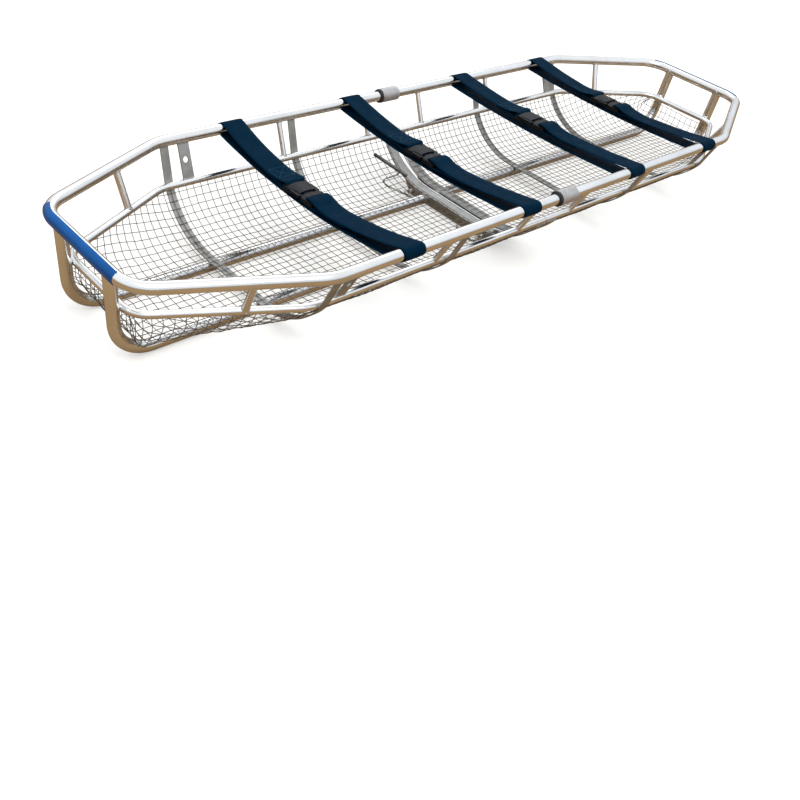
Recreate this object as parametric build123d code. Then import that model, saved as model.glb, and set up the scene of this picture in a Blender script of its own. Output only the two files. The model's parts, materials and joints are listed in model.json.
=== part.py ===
"""Two-piece rescue basket stretcher: a bent stainless tube frame with a wire mesh basket.

The stretcher comes apart across its middle into a head half and a foot half, which are joined
by two spigots with sliding collars in the top rail and two lock pins under the floor.
X runs along the length (head at -X, foot at +X), Y across, Z up. The origin is at the middle of
the footprint, on the ground.
"""
import os
from math import atan2, cos, degrees, pi, radians, sin, sqrt, tan

from build123d import *

# ---- overall sizes --------------------------------------------------------------------
LENGTH = 2100.0             # over the end rails
WIDTH = 605.0               # over the side rails
TUBE = 25.0                 # top rail and runner tube, outside
TUBE_BORE = 22.0
LOWER_TUBE = 16.0
LOWER_BORE = 13.6
RAIL_Z = 208.0              # top rail centre line
LOWER_Z = 120.0             # lower rail centre line
SPLIT_GAP = 1.0             # between the two halves of every rail

# ---- top rail plan, centre line -------------------------------------------------------
RAIL_X = (LENGTH - TUBE) / 2
RAIL_Y = (WIDTH - TUBE) / 2
BEND_X = 704.0              # where the sides turn in towards the end
END_Y = 148.0               # corner of the end rail
BEND_R = 120.0
CORNER_R = 70.0

# ---- lower rail plan, centre line -----------------------------------------------------
LOW_X = 1006.0
LOW_Y = 248.0
LOW_BEND_X = 711.0
LOW_END_Y = 112.0
LOW_CORNER_R = 55.0

# ---- runners --------------------------------------------------------------------------
RUNNER_Y = 83.0
RUNNER_Z = TUBE / 2
RUNNER_R = 85.0
RUNNER_TURN_X = 1012.0      # where its line meets the upright, which bears on the lower rail
UPRIGHT_TOP_Z = 206.0       # the upright leans out to end under the end rail

# ---- basket section: line from rail to rail, then an arc down to the flat floor -------
BAR_T = 3.0                 # flat bar thickness
RIB_W = 20.0
RIB_BEND_X = 686.0
RIB_INNER_X = 333.0
FLOOR_Z = TUBE + BAR_T / 2  # middle of the flat bar on the floor
SIDE_R = 188.0              # arc from floor to lower rail, at the middle of the bar
SIDE_Y = 256.8              # bar middle where it passes outside the lower rail
SIDE_Z = 116.5
RIB_TOP_Y = 289.0
RIB_TOP_Z = 199.0
ARC_Z = FLOOR_Z + SIDE_R
ARC_Y = SIDE_Y - sqrt(SIDE_R**2 - (ARC_Z - SIDE_Z) ** 2)

# ---- mid frames: inverted channels at the split ---------------------------------------
FRAME_T = 2.5
FRAME_IN = {"head": 1.5, "foot": 9.0}   # split plane to the channel
FRAME_W = 33.0
WEB_Z = 4.0                 # lower edge of the webs
WEB_Y = 128.0               # half length of the lower edge
WEB_TOP_Y = 176.0
WEB_TOP_Z = 62.0
WEB_HOLE = 10.0
WEB_HOLE_STEP = 26.0

# ---- wire mesh, as a thin skin --------------------------------------------------------
SKIN_T = 2.0
SKIN_R = 185.0
SKIN_TOP = 110.5
SKIN_END_R = 52.0
SKIN_END_X = 1006.0         # clear of the top of the end wall
WALL_FOOT = (956.5, 29.5)   # end wall, X and Z of its foot, knee and top
WALL_KNEE = (996.5, 62.0)
WALL_TOP = (1003.0, SKIN_TOP)

# ---- struts and lifting eyes ----------------------------------------------------------
STRUT_D = 12.0
CORNER_STRUT_D = 15.0
STRUT_X = (98.0, 372.0)
CORNER_STRUT_TOP = (838.0, 232.9)
CORNER_STRUT_LOW = (822.0, 196.8)
EYE_X = {"head": 640.0, "foot": 648.5}
EYE_T = 4.0
EYE_W = 27.0
EYE_HOLE = 14.0

# ---- end pads -------------------------------------------------------------------------
PAD_T = 1.4
PAD_SWEEP = {               # how far the pad goes round the left and right corner, degrees
    "head": (34.0, 7.0),
    "foot": (34.0, 34.0),
}
PAD_FROM = -55.0            # pad edge below the outside of the rail, degrees
PAD_TO = 88.0               # pad edge above the outside of the rail, degrees

# ---- rail couplings -------------------------------------------------------------------
SPIGOT_D = 21.4
SPIGOT_OUT = 48.0           # spigot past the split
SPIGOT_IN = 60.0            # spigot inside the foot rail
COLLAR_D = 36.0
COLLAR_BORE = 25.8
COLLAR_FROM = -40.0
COLLAR_TO = 20.0
SEAL_W = 5.0
SEAL_D = 35.0
SEAL_BORE = 26.0

# ---- lock pins and their lanyards -----------------------------------------------------
PIN_D = 8.0
PIN_HOLE = 8.8
PIN_Y = 122.0
PIN_Z = 16.0
PIN_TIP_X = 14.0
PIN_HEAD_X = -36.0
PIN_HEAD_D = 13.0
PIN_HEAD_L = 12.0
PIN_RING_R = 8.5
PIN_RING_WIRE = 1.2
PIN_RING_SINK = 4.0         # how far the ring passes into the head
LANYARD_BAR_D = 9.0
LANYARD_BAR = ((-94.0, 221.0, 85.7), (-33.0, 151.0, 43.5))
CHAIN_D = 5.0
CHAIN_POINTS = (
    (-54.0, 164.0, 46.4),
    (-71.0, 162.0, 45.6),
    (-90.0, 163.0, 46.0),
    (-107.0, 161.0, 45.2),
    (-117.0, 152.0, 42.0),
    (-111.0, 139.0, 38.4),
    (-103.0, 124.0, 35.4),
    (-98.0, 108.0, 33.7),
    (-90.0, 93.0, 33.3),
    (-87.0, 77.0, 33.3),
)

# ---- straps ---------------------------------------------------------------------------
STRAPS = {                              # X, lowest height of the upper and lower layer
    1: (-508.0, 177.0, 168.0),
    2: (-143.0, 190.0, 178.0),
    3: (265.0, 203.0, 184.0),
    4: (605.0, 197.0, 184.0),
}
STRAP_W = 58.0
STRAP_T = 2.4
STRAP_WRAP = TUBE / 2 + 0.3             # inside of the strap round a rail

# ---- strap buckles --------------------------------------------------------------------
BUCKLE_Y = 14.0                         # joint line between socket and plug
BUCKLE_RISE = 2.5                       # middle of the buckle above the upper layer
BUCKLE_W = 58.0
BUCKLE_T = 15.0
BUCKLE_CROWN = 100.0                    # radius of the top face across the strap
WAIST_R = 26.0                          # hollow in each side of the socket
WAIST_DEPTH = 7.0
SOCKET_L = 50.0
PLUG_L = 46.0
TONGUE_L = 30.0
TONGUE_W = 22.0
PRONG_L = 30.0
PRONG_W = 11.0
PRONG_T = 7.0
PRONG_PROUD = 1.5                       # outer face past the side of the socket
PRONG_BACK = 6.0                        # prong end behind the joint line
PRONG_CLEAR = 0.8
RIDGE_STEP = 3.4                        # grooves in the finger face of a prong
RIDGE_D = 1.6
WEB_SLOT = 6.0
SLOT_MARGIN = 6.0

# ---- carrying grip on the head mid frame ----------------------------------------------
GRIP_L = 110.0
GRIP_T = 2.0

HALVES = {"head": -1, "foot": 1}        # name and the sign of its X
SIDES = {"left": 1, "right": -1}        # name and the sign of its Y

os.makedirs("parts", exist_ok=True)


def save(shape, name):
    export_step(shape, f"parts/{name}.step")


def tube_along(path, outside, inside=0.0):
    """Sweeps a round tube along a path."""
    section_plane = Plane(origin=path @ 0, z_dir=path % 0)
    solid = sweep(section_plane * Circle(outside / 2), path=path, transition=Transition.ROUND)
    if inside:
        solid -= sweep(section_plane * Circle(inside / 2), path=path, transition=Transition.ROUND)
    return solid


def rod(start, end, diameter):
    """A round bar between two points."""
    line = Line(start, end)
    return sweep(Plane(origin=start, z_dir=line % 0) * Circle(diameter / 2), path=line)


def x_cylinder(diameter, x_from, x_to, y, z):
    return rod((x_from, y, z), (x_to, y, z), diameter)


def half_outline(end_x, side_y, bend_x, end_y, radii, z, sign):
    """The half octagon of a rail: side, angled part, end, angled part, side."""
    start = SPLIT_GAP / 2
    points = [(start, side_y), (bend_x, side_y), (end_x, end_y)]
    points += [(x, -y) for x, y in reversed(points)]
    return FilletPolyline([(sign * x, y, z) for x, y in points], radius=radii)


def top_path(sign):
    radii = [BEND_R, CORNER_R, CORNER_R, BEND_R]
    return half_outline(RAIL_X, RAIL_Y, BEND_X, END_Y, radii, RAIL_Z, sign)


def lower_path(sign):
    radii = [BEND_R, LOW_CORNER_R, LOW_CORNER_R, BEND_R]
    return half_outline(LOW_X, LOW_Y, LOW_BEND_X, LOW_END_Y, radii, LOWER_Z, sign)


def runner_path(sign, y):
    points = [
        (sign * RAIL_X, y, UPRIGHT_TOP_Z),
        (sign * RUNNER_TURN_X, y, RUNNER_Z),
        (sign * SPLIT_GAP / 2, y, RUNNER_Z),
    ]
    return FilletPolyline(points, radius=RUNNER_R)


def arc_point(radius, z, centre_y=ARC_Y, centre_z=ARC_Z):
    """The point at height z on the side arc of a given radius, on the +Y side."""
    return centre_y + sqrt(radius**2 - (centre_z - z) ** 2), z


def section_face(radius, top, x, centre_y=ARC_Y, centre_z=ARC_Z):
    """Everything inside the basket section of a given side radius, closed across its top."""
    top_y, top_z = arc_point(radius, top, centre_y, centre_z)
    half_turn = atan2(centre_z - top_z, top_y - centre_y)
    middle = (half_turn + pi / 2) / 2
    mid_y = centre_y + radius * cos(middle)
    mid_z = centre_z - radius * sin(middle)
    floor = centre_z - radius
    plane = Plane(origin=(x, 0, 0), x_dir=(0, 1, 0), z_dir=(1, 0, 0))
    edges = [
        Line((-centre_y, floor), (centre_y, floor)),
        ThreePointArc((centre_y, floor), (mid_y, mid_z), (top_y, top_z)),
        Polyline((top_y, top_z), (top_y, top_z + 1), (-top_y, top_z + 1), (-top_y, top_z)),
        ThreePointArc((-top_y, top_z), (-mid_y, mid_z), (-centre_y, floor)),
    ]
    return plane * make_face(edges)


def bar_section(thickness, top_z):
    """The flat bar's closed outline on the curved part of the basket, in the YZ plane."""
    outer = section_face(SIDE_R + thickness / 2, top_z, 0)
    inner = section_face(SIDE_R - thickness / 2, top_z, 0)
    return outer, inner


def slab(x_from, x_to, face):
    """Extrudes a face drawn at x = 0 so that it fills x_from to x_to."""
    return Pos(min(x_from, x_to), 0, 0) * extrude(face, abs(x_to - x_from), dir=(1, 0, 0))


def curved_bar(x_from, x_to, thickness):
    """A flat bar bent round the basket, from lower rail to lower rail."""
    outer, inner = bar_section(thickness, SIDE_Z)
    bar = slab(x_from, x_to, outer) - slab(x_from - 1, x_to + 1, inner)
    keep = Box(3000, WIDTH, SIDE_Z, align=(Align.CENTER, Align.CENTER, Align.MIN))
    return bar & keep


def side_leg(x_from, x_to, thickness, side):
    """The straight upper part of a rib, from the lower rail to the top rail."""
    low = Vector(0, SIDE_Y, SIDE_Z)
    high = Vector(0, RIB_TOP_Y, RIB_TOP_Z)
    along = (high - low).normalized()
    out = Vector(0, along.Z, -along.Y) * (thickness / 2)
    corners = [low + out, high + out, high - out, low - out]
    plane = Plane(origin=(0, 0, 0), x_dir=(0, 1, 0), z_dir=(1, 0, 0))
    face = plane * make_face(Polyline([(side * c.Y, c.Z) for c in corners], close=True))
    return slab(x_from, x_to, face)


def rib(x_middle, rails):
    x_from = x_middle - RIB_W / 2
    x_to = x_middle + RIB_W / 2
    bar = curved_bar(x_from, x_to, BAR_T)
    for side in SIDES.values():
        bar += side_leg(x_from, x_to, BAR_T, side)
    return bar - rails


def web_face():
    """The plate under a mid frame: straight below, following the basket above."""
    plane = Plane(origin=(0, 0, 0), x_dir=(0, 1, 0), z_dir=(1, 0, 0))
    corners = [
        (-WEB_TOP_Y, WEB_TOP_Z),
        (-WEB_Y, WEB_Z),
        (WEB_Y, WEB_Z),
        (WEB_TOP_Y, WEB_TOP_Z),
    ]
    plate = plane * make_face(Polyline(corners, close=True))
    return plate - section_face(SIDE_R + FRAME_T / 2 - 0.4, SIDE_Z, 0)


def mid_frame(sign, start, runners):
    """An inverted channel: a curved flange with a web under each edge of its floor part."""
    near = sign * start
    far = sign * (start + FRAME_W)
    frame = curved_bar(min(near, far), max(near, far), FRAME_T)
    face = web_face()
    frame += slab(near, near + sign * FRAME_T, face)
    frame += slab(far - sign * FRAME_T, far, face)
    for i in range(-2, 3):
        y = i * WEB_HOLE_STEP
        frame -= x_cylinder(WEB_HOLE, near - sign, near + sign * (FRAME_T + 1), y, PIN_Z)
    for side in SIDES.values():
        frame -= x_cylinder(PIN_HOLE, -60, 60, side * PIN_Y, PIN_Z)
    return frame - runners


def beyond(low, high):
    """Everything past a plane that leans in X from one (x, z) place to a higher one."""
    lean = degrees(atan2(high[0] - low[0], high[1] - low[1]))
    box = Box(400, WIDTH, 400, align=(Align.MIN, Align.CENTER, Align.CENTER))
    return Pos(low[0], 0, low[1]) * Rot(0, lean, 0) * box


def mesh_skin(sign, start):
    """The wire mesh as a thin skin: a trough, a narrowing end and an end wall with a knee."""
    end_floor = FLOOR_Z + SIDE_R - SKIN_R
    end_centre_z = end_floor + SKIN_END_R

    def trough(offset):
        radius = SKIN_R + offset
        straight = slab(0, LOW_BEND_X, section_face(radius, SKIN_TOP, 0))
        wide_y = arc_point(SKIN_R, SKIN_TOP)[0]
        slope = (LOW_Y - LOW_END_Y) / (LOW_X - LOW_BEND_X)
        narrow_y = wide_y - slope * (SKIN_END_X - LOW_BEND_X)
        reach = sqrt(SKIN_END_R**2 - (end_centre_z - SKIN_TOP) ** 2)
        wide = section_face(radius, SKIN_TOP, LOW_BEND_X)
        narrow = section_face(
            SKIN_END_R + offset, SKIN_TOP, SKIN_END_X, narrow_y - reach, end_centre_z
        )
        return straight + loft([wide, narrow], ruled=True)

    outer = trough(SKIN_T / 2)
    inner = trough(-SKIN_T / 2)
    past = beyond(WALL_FOOT, WALL_KNEE) + beyond(WALL_KNEE, WALL_TOP)
    past_wall = Pos(SKIN_T, 0, 0) * past
    gap = Box(start * 2 + 0.2, WIDTH, 400)
    above = Pos(0, 0, SKIN_TOP) * Box(
        3000, WIDTH, 200, align=(Align.CENTER, Align.CENTER, Align.MIN)
    )
    side_skin = (outer - inner) - past
    wall = outer & (past - past_wall)
    skin = (side_skin + wall) - gap - above
    return skin if sign > 0 else mirror(skin, about=Plane.YZ)


def lifting_eye(x, side, rails):
    """A plate in the plane of the two side rails, with one hole for a lifting hook."""
    top = Vector(x, side * RAIL_Y, RAIL_Z)
    low = Vector(x, side * LOW_Y, LOWER_Z)
    middle = (top + low) / 2
    along = (top - low).normalized()
    outward = Vector(0, side * along.Z, -abs(along.Y))
    plane = Plane(origin=middle, x_dir=(1, 0, 0), z_dir=outward)
    plate = extrude(plane * Rectangle(EYE_W, (top - low).length), EYE_T / 2, both=True)
    plate -= rod(middle - outward * EYE_T, middle + outward * EYE_T, EYE_HOLE)
    return plate - rails


def end_pad(sign, left_sweep, right_sweep):
    """A bonded plastic strip over the outside and top of an end rail."""
    turn = radians(90) - atan2(RAIL_Y - END_Y, RAIL_X - BEND_X)
    centre_x = RAIL_X - CORNER_R
    centre_y = END_Y - CORNER_R * tan(turn / 2)

    def corner(degrees_round, side):
        angle = radians(degrees_round)
        x = centre_x + CORNER_R * cos(angle)
        return (sign * x, side * (centre_y + CORNER_R * sin(angle)), RAIL_Z)

    def bend(sweep, side):
        return [corner(sweep, side), corner(sweep / 2, side), corner(0, side)]

    path = Wire(
        [
            ThreePointArc(*bend(left_sweep, 1)).edge(),
            Line(corner(0, 1), corner(0, -1)).edge(),
            ThreePointArc(*reversed(bend(right_sweep, -1))).edge(),
        ]
    )
    tangent = path % 0
    outward = Vector(sign * cos(radians(left_sweep)), sin(radians(left_sweep)), 0)
    plane = Plane(origin=path @ 0, x_dir=outward, z_dir=tangent)
    up = 1 if plane.y_dir.Z > 0 else -1
    inner_r = TUBE / 2
    outer_r = inner_r + PAD_T
    start, end = radians(PAD_FROM), radians(PAD_TO)
    middle = (start + end) / 2

    def at(radius, angle):
        return radius * cos(angle), up * radius * sin(angle)

    edges = [
        ThreePointArc(at(outer_r, start), at(outer_r, middle), at(outer_r, end)),
        Line(at(outer_r, end), at(inner_r, end)),
        ThreePointArc(at(inner_r, end), at(inner_r, middle), at(inner_r, start)),
        Line(at(inner_r, start), at(outer_r, start)),
    ]
    return sweep(plane * make_face(edges), path=path)


def spigot(side):
    body = x_cylinder(SPIGOT_D, -SPIGOT_OUT, SPIGOT_IN, side * RAIL_Y, RAIL_Z)
    return chamfer(body.edges().filter_by(GeomType.CIRCLE), 2)


def collar(side):
    y = side * RAIL_Y
    body = x_cylinder(COLLAR_D, COLLAR_FROM, COLLAR_TO, y, RAIL_Z)
    rims = body.edges().filter_by(GeomType.CIRCLE).sort_by(Axis.X)
    body = chamfer(rims[-1], 4)
    rims = body.edges().filter_by(GeomType.CIRCLE).sort_by(Axis.X)
    body = chamfer(rims[0], 1)
    return body - x_cylinder(COLLAR_BORE, COLLAR_FROM - 1, COLLAR_TO + 1, y, RAIL_Z)


def collar_seal(side):
    y = side * RAIL_Y
    x_from = COLLAR_FROM - SEAL_W
    body = x_cylinder(SEAL_D, x_from, COLLAR_FROM, y, RAIL_Z)
    body = fillet(body.edges().filter_by(GeomType.CIRCLE).sort_by(Axis.X)[0], 1.5)
    return body - x_cylinder(SEAL_BORE, x_from - 1, COLLAR_FROM + 1, y, RAIL_Z)


def lock_pin(side):
    y = side * PIN_Y
    shank = x_cylinder(PIN_D, PIN_HEAD_X, PIN_TIP_X, y, PIN_Z)
    shank = chamfer(shank.edges().filter_by(GeomType.CIRCLE).sort_by(Axis.X)[-1], 1.5)
    head = x_cylinder(PIN_HEAD_D, PIN_HEAD_X - PIN_HEAD_L, PIN_HEAD_X, y, PIN_Z)
    head = chamfer(head.edges().filter_by(GeomType.CIRCLE), 1.5)
    ring_x = PIN_HEAD_X - PIN_HEAD_L - PIN_RING_R + PIN_RING_SINK
    ring = Pos(ring_x, y, PIN_Z) * Torus(PIN_RING_R, PIN_RING_WIRE)
    return shank + head + ring


def chain_radii(points):
    """Each corner's largest arc: 0.45 of the shorter run over the tangent of half the turn."""
    radii = []
    for before, corner, after in zip(points, points[1:], points[2:]):
        run_in = Vector(*corner) - Vector(*before)
        run_out = Vector(*after) - Vector(*corner)
        turn = radians(run_in.get_angle(run_out))
        shorter = min(run_in.length, run_out.length)
        radii.append(0.45 * shorter / tan(turn / 2))
    return radii


def chain(side):
    points = [(x, side * y, z) for x, y, z in CHAIN_POINTS]
    radii = chain_radii(points)
    path = FilletPolyline(points, radius=radii)
    body = tube_along(path, CHAIN_D)
    print(f"chain radii {[round(r, 1) for r in radii]} length {path.length:.0f}")
    print(f"chain volume ratio {body.volume / (pi * CHAIN_D**2 / 4 * path.length):.3f}")
    return body


def band(curve_points, thickness):
    """A band of constant thickness about a three-point arc in the YZ plane."""
    first, middle, last = [Vector(0, *p) for p in curve_points]
    height = first.Z - middle.Z
    reach = (last - first).length / 2
    radius = (reach**2 + height**2) / (2 * height)
    centre = Vector(0, middle.Y, middle.Z + radius)

    def move(point, offset):
        away = (point - centre).normalized()
        moved = point + away * offset
        return moved.Y, moved.Z

    outer = [move(p, thickness / 2) for p in (first, middle, last)]
    inner = [move(p, -thickness / 2) for p in (first, middle, last)]
    edges = [
        ThreePointArc(*outer),
        Line(outer[2], inner[2]),
        ThreePointArc(inner[2], inner[1], inner[0]),
        Line(inner[0], outer[0]),
    ]
    return Plane(origin=(0, 0, 0), x_dir=(0, 1, 0), z_dir=(1, 0, 0)) * make_face(edges)


def strap(x, upper_z, lower_z):
    """One closed loop of webbing round both side rails, open above where the buckle sits."""
    wrap_mid = STRAP_WRAP + STRAP_T / 2
    x_from = x - STRAP_W / 2
    x_to = x + STRAP_W / 2
    upper_ends = RAIL_Z + wrap_mid
    lower_ends = RAIL_Z - wrap_mid
    upper = band(((RAIL_Y, upper_ends), (0, upper_z), (-RAIL_Y, upper_ends)), STRAP_T)
    lower = band(((RAIL_Y, lower_ends), (0, lower_z), (-RAIL_Y, lower_ends)), STRAP_T)
    loop = slab(x_from, x_to, upper)
    socket_end = BUCKLE_Y + SOCKET_L + 0.2
    plug_end = BUCKLE_Y - PLUG_L - 0.2
    opening = Pos(x, (socket_end + plug_end) / 2, upper_z)
    loop -= opening * Box(STRAP_W + 2, socket_end - plug_end, BUCKLE_T)
    loop += slab(x_from, x_to, lower)
    for side in SIDES.values():
        ring = x_cylinder(2 * STRAP_WRAP + 2 * STRAP_T, x_from, x_to, side * RAIL_Y, RAIL_Z)
        ring -= Pos(x, side * (RAIL_Y - 20), RAIL_Z) * Box(STRAP_W + 2, 40, 60)
        loop += ring
    for side in SIDES.values():
        loop -= x_cylinder(2 * STRAP_WRAP, x_from - 1, x_to + 1, side * RAIL_Y, RAIL_Z)
    return loop


def buckle_block(place, y_from, y_to, width, thickness):
    """A box between two stations of a buckle; place is the buckle's X and the height of its middle."""
    x, z = place
    return Pos(x, (y_from + y_to) / 2, z) * Box(width, y_to - y_from, thickness)


def buckle_crown(place):
    """The round that both halves of a buckle lie in, so that their top is crowned."""
    x, z = place
    centre_z = z + BUCKLE_T / 2 - BUCKLE_CROWN
    return rod((x, BUCKLE_Y - 80, centre_z), (x, BUCKLE_Y + 80, centre_z), 2 * BUCKLE_CROWN)


def prong_middle(x, hand):
    """Centre of a release prong; its outer face stands proud of the socket."""
    reach = BUCKLE_W / 2 - PRONG_W / 2 + PRONG_PROUD
    return x + hand * reach, BUCKLE_Y + PRONG_L / 2 - PRONG_BACK


def buckle_socket(place):
    """The female half: waisted, with open side windows and a webbing slot at its far end."""
    x, z = place
    y_to = BUCKLE_Y + SOCKET_L
    body = buckle_block(place, BUCKLE_Y, y_to, BUCKLE_W, BUCKLE_T)
    body = fillet(body.edges().filter_by(Axis.Z), 6)
    body &= buckle_crown(place)
    body -= buckle_block(place, BUCKLE_Y - 1, BUCKLE_Y + TONGUE_L + 3, TONGUE_W + 2, PRONG_T + 1)
    window = Box(2 * PRONG_W + 4, PRONG_L + 2 * PRONG_CLEAR + 8, PRONG_T + 2 * PRONG_CLEAR)
    for hand in (-1, 1):
        centre_x, centre_y = prong_middle(x, hand)
        body -= Pos(centre_x + hand * 4, centre_y - 3, z) * window
        waist_x = x + hand * (BUCKLE_W / 2 - WAIST_DEPTH + WAIST_R)
        body -= Pos(waist_x, centre_y, z) * Cylinder(WAIST_R, 2 * BUCKLE_T)
    slot_from = y_to - SLOT_MARGIN - WEB_SLOT
    return body - buckle_block(place, slot_from, slot_from + WEB_SLOT, BUCKLE_W - 10, 2 * BUCKLE_T)


def buckle_plug(place):
    """The male half: a block with two webbing slots and a centre tongue in the socket."""
    y_from = BUCKLE_Y - PLUG_L
    y_to = BUCKLE_Y - 9
    body = buckle_block(place, y_from, y_to, BUCKLE_W, BUCKLE_T - 3)
    body = fillet(body.edges().filter_by(Axis.Z), 6)
    body &= buckle_crown(place)
    for slot_from in (y_from + SLOT_MARGIN, y_from + SLOT_MARGIN + 2 * WEB_SLOT):
        body -= buckle_block(
            place, slot_from, slot_from + WEB_SLOT, BUCKLE_W - 10, 2 * BUCKLE_T
        )
    return body + buckle_block(place, y_to - 2, BUCKLE_Y + TONGUE_L, TONGUE_W, PRONG_T)


def buckle_prong(place, hand):
    """One release prong: it travels inwards when the buckle is squeezed."""
    x, z = place
    centre_x, centre_y = prong_middle(x, hand)
    body = Pos(centre_x, centre_y, z) * Box(PRONG_W, PRONG_L, PRONG_T)
    outer = body.edges().filter_by(Axis.Z)
    outer = outer.sort_by(Axis.X)[-2:] if hand > 0 else outer.sort_by(Axis.X)[:2]
    body = fillet(outer, 4)
    for i in range(-2, 3):
        groove = Pos(centre_x + hand * PRONG_W / 2, centre_y + i * RIDGE_STEP, z)
        body -= groove * Cylinder(RIDGE_D / 2, PRONG_T + 1)
    return body


def carry_grip():
    """A moulded sleeve clipped over the lower edge of the head frame's split-side web."""
    x = -FRAME_IN["head"] - FRAME_T / 2
    height = 9.0
    z = WEB_Z - GRIP_T + height / 2
    body = Pos(x, 0, z) * Box(FRAME_T + 2 * GRIP_T, GRIP_L, height)
    body -= Pos(x, 0, z + GRIP_T) * Box(FRAME_T, GRIP_L + 2, height)
    return body


# ---- the two halves -------------------------------------------------------------------
for half, sign in HALVES.items():
    top_solid = tube_along(top_path(sign), TUBE)
    lower_solid = tube_along(lower_path(sign), LOWER_TUBE)
    rails = top_solid + lower_solid
    save(tube_along(top_path(sign), TUBE, TUBE_BORE), f"{half}_top_rail")
    save(tube_along(lower_path(sign), LOWER_TUBE, LOWER_BORE), f"{half}_lower_rail")

    runner_solids = []
    for side_name, side in SIDES.items():
        path = runner_path(sign, side * RUNNER_Y)
        runner_solids.append(tube_along(path, TUBE))
        runner = tube_along(path, TUBE, TUBE_BORE) - rails
        save(runner, f"{half}_runner_{side_name}")

    save(rib(sign * RIB_BEND_X, rails), f"{half}_rib_bend")
    save(rib(sign * RIB_INNER_X, rails), f"{half}_rib_inner")
    both_runners = runner_solids[0] + runner_solids[1]
    save(mid_frame(sign, FRAME_IN[half], both_runners), f"{half}_mid_frame")
    save(mesh_skin(sign, FRAME_IN[half]), f"{half}_mesh")
    save(end_pad(sign, *PAD_SWEEP[half]) - both_runners, f"{half}_end_pad")

    struts = []
    for side_name, side in SIDES.items():
        for x in STRUT_X:
            top = (sign * x, side * RAIL_Y, RAIL_Z)
            low = (sign * x, side * LOW_Y, LOWER_Z)
            struts.append(rod(top, low, STRUT_D) - rails)
        top = (sign * CORNER_STRUT_TOP[0], side * CORNER_STRUT_TOP[1], RAIL_Z)
        low = (sign * CORNER_STRUT_LOW[0], side * CORNER_STRUT_LOW[1], LOWER_Z)
        struts.append(rod(top, low, CORNER_STRUT_D) - rails)
        eye = lifting_eye(sign * EYE_X[half], side, rails)
        save(eye, f"{half}_lifting_eye_{side_name}")
    pieces = [strut.solids().sort_by(SortBy.VOLUME)[-1] for strut in struts]
    save(Compound(children=pieces), f"{half}_struts")

# ---- couplings, lock pins and lanyards ------------------------------------------------
for side_name, side in SIDES.items():
    save(spigot(side), f"spigot_{side_name}")
    save(collar(side), f"coupling_collar_{side_name}")
    save(collar_seal(side), f"collar_seal_{side_name}")
    save(lock_pin(side), f"lock_pin_{side_name}")
    ends = [(x, side * y, z) for x, y, z in LANYARD_BAR]
    save(rod(*ends, LANYARD_BAR_D), f"lanyard_bar_{side_name}")
    save(chain(side), f"lanyard_chain_{side_name}")
save(carry_grip(), "carry_grip")

# ---- straps and buckles ---------------------------------------------------------------
for number, (x, upper_z, lower_z) in STRAPS.items():
    place = (x, upper_z + BUCKLE_RISE)
    save(strap(x, upper_z, lower_z), f"strap_{number}")
    save(buckle_socket(place), f"buckle_{number}_socket")
    save(buckle_plug(place), f"buckle_{number}_plug")
    save(buckle_prong(place, -1), f"buckle_{number}_prong_head")
    save(buckle_prong(place, 1), f"buckle_{number}_prong_foot")
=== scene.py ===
"""Looks of the two-piece basket stretcher: mesh, webbing, chains, welds, finishes, light, camera.

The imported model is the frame. Lengths are in metres in its axes: X along the stretcher with the
head at -X, Y across, Z up from the ground. Shapes are worked out in millimetres where MM is used.
"""
import json
import math

import bpy
import numpy as np
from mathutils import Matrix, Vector, noise

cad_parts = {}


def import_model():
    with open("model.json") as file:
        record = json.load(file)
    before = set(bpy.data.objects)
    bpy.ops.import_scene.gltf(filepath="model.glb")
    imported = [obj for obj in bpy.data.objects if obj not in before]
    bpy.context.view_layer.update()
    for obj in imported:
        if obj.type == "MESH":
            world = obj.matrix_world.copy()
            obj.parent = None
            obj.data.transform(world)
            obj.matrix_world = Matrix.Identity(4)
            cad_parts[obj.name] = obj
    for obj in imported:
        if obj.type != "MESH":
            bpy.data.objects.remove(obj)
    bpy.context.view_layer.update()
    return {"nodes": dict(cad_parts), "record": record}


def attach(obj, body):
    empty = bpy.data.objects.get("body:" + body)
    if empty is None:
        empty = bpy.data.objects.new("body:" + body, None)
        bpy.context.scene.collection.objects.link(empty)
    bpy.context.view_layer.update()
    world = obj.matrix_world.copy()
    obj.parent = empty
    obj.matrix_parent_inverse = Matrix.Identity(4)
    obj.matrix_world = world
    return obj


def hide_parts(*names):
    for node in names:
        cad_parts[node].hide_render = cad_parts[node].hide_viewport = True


MM = 0.001

# ---- sizes shared with the CAD model, in mm ------------------------------------------------
RAIL_Y = 290.0
RAIL_Z = 208.0
RAIL_R = 12.5
RAIL_X = 1037.5
BEND_X = 704.0
END_Y = 148.0
LOW_Y = 248.0
LOW_Z = 120.0
LOW_R = 8.0
LOW_X = 1006.0
LOW_BEND_X = 711.0
LOW_END_Y = 112.0
RUNNER_Y = 83.0
UPRIGHT_TURN_X = 1012.0      # where the runner's line meets the upright's
UPRIGHT_TOP_Z = 206.0
LOW_CORNER_R = 55.0
TUBE_R = 12.5
RIB_X = (333.0, 686.0)
RIB_W = 20.0
RIB_T = 3.0
RIB_LOW = (256.8, 116.5)
RIB_TOP = (289.0, 199.0)
FRAME_EDGE = {"head": (1.5, 34.5), "foot": (9.0, 42.0)}
FLANGE_R = 189.25
ARC_Y = 96.4
ARC_Z = 214.5
STRUT_R = 6.0
STRUT_X = (98.0, 372.0)
CORNER_STRUT = ((838.0, 232.9), (822.0, 196.8))
CORNER_STRUT_R = 7.5
EYE_X = {"head": 640.0, "foot": 648.5}
EYE_W = 27.0
EYE_T = 4.0
LANYARD_END = (-33.0, 151.0, 43.5)

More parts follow.
